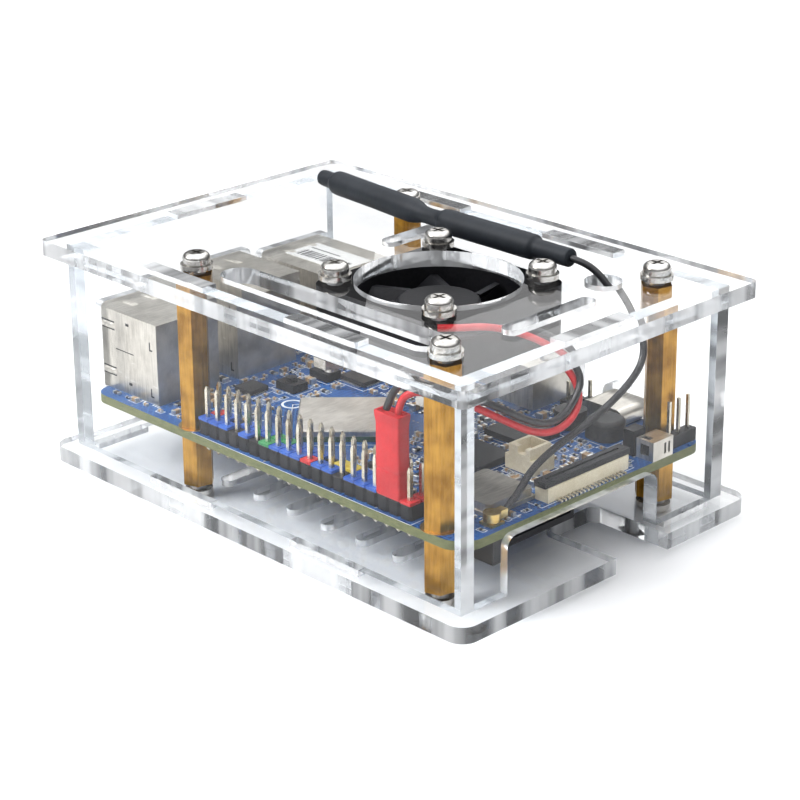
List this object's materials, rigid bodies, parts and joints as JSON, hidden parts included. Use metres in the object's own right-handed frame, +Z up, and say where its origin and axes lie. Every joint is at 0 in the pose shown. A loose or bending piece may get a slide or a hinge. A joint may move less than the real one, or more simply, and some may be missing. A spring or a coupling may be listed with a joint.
{
  "type": "single board computer",
  "caption": "Small circuit-board computer on brass standoffs inside a clear flat-sheet box, with a lid fan, a pin header, wired plug and a stick antenna on the lid.",
  "frame": {"origin": "centre of the case in plan, at the level of the undersides of the four screw heads that it stands on", "axes": "+X towards the display connector end, the USB and network sockets face -X; +Y towards the video and power side, the pin header is on the -Y side; +Z up"},
  "size_m": [0.102, 0.069, 0.047],
  "materials": {
    "clear_sheet": "laser-cut clear sheet with polished faces and banded cut edges",
    "brass": "turned hexagon bar, lightly brushed",
    "nickel_screw": "nickel-plated, bright",
    "fan_black": "moulded, fine texture",
    "bearing_brass": "sintered sleeve",
    "board_blue": "solder mask over copper with white print",
    "chip_black": "moulded resin",
    "chip_substrate": "laminate",
    "lid_metal": "satin plated heat spreader",
    "tin_shell": "folded tinned sheet",
    "gold_contact": "thin gold plate",
    "pin_metal": "square plated wire",
    "black_plastic": "moulded",
    "blue_plastic": "moulded",
    "green_plastic": "moulded",
    "red_plastic": "moulded",
    "yellow_plastic": "moulded",
    "cream_plastic": "moulded nylon",
    "label_paper": "printed label",
    "ferrite": "pressed ferrite powder",
    "heat_shrink": "matt shrunk tube",
    "lead_black": "insulation",
    "lead_red": "insulation"
  },
  "bodies": {
    "case": {"antenna_body": "heat_shrink", "antenna_lead": "lead_black", "antenna_plug": "gold_contact", "antenna_socket": "gold_contact", "audio_jack": "black_plastic", "back_wall": "clear_sheet", "barcode_label": "label_paper", "base_screws": "nickel_screw", "battery_connector": "cream_plastic", "bottom_plate": "clear_sheet", "card_slot": "tin_shell", "circuit_board": "board_blue", "collars_blue": "blue_plastic", "collars_green": "green_plastic", "collars_red": "red_plastic", "collars_yellow": "yellow_plastic", "display_connector": "cream_plastic", "display_contacts": "pin_metal", "ethernet_insert": "black_plastic", "ethernet_shell": "tin_shell", "expansion_slot": "black_plastic", "fan_bearing": "bearing_brass", "fan_frame": "fan_black", "fan_lead_black": "lead_black", "fan_lead_red": "lead_red", "fan_nuts": "nickel_screw", "fan_plug": "red_plastic", "fan_screws": "nickel_screw", "front_wall": "clear_sheet", "gpio_base": "black_plastic", "gpio_pins": "pin_metal", "hdmi_shell": "tin_shell", "header_bases": "black_plastic", "header_pins": "pin_metal", "ir_cage": "tin_shell", "ir_receiver": "black_plastic", "left_wall": "clear_sheet", "lid_screws": "nickel_screw", "lower_standoffs": "brass", "memory_chips": "chip_black", "port_tongues": "black_plastic", "power_inductors": "ferrite", "power_socket": "tin_shell", "right_wall": "clear_sheet", "screw_washers": "nickel_screw", "small_chips": "chip_black", "soc_lid": "lid_metal", "soc_package": "chip_substrate", "switch_bodies": "black_plastic", "top_plate": "clear_sheet", "upper_standoffs": "brass", "usb_shell_1": "tin_shell", "usb_shell_2": "tin_shell", "usb_tongues_1": "black_plastic", "usb_tongues_2": "black_plastic", "wifi_module": "tin_shell"},
    "fan_rotor": {"fan_rotor": "fan_black"},
    "button_1": {"button_1": "black_plastic"},
    "button_2": {"button_2": "black_plastic"},
    "display_latch": {"display_latch": "black_plastic"}
  },
  "joints": [
    {"name": "fan_spin", "type": "hinge", "parent": "case", "child": "fan_rotor", "pos_m": [0.0128, -0.0009, 0.035], "axis": [0, 0, 1], "continuous": true},
    {"name": "button_1_press", "type": "slide", "parent": "case", "child": "button_1", "axis": [0, 0, -1], "range_m": [0, 0.00025], "stiffness_N_per_m": 800, "springref_m": -0.0002},
    {"name": "button_2_press", "type": "slide", "parent": "case", "child": "button_2", "axis": [0, 0, -1], "range_m": [0, 0.00025], "stiffness_N_per_m": 800, "springref_m": -0.0002},
    {"name": "display_latch_lift", "type": "slide", "parent": "case", "child": "display_latch", "axis": [0, 0, 1], "range_m": [0, 0.0008]}
  ]
}
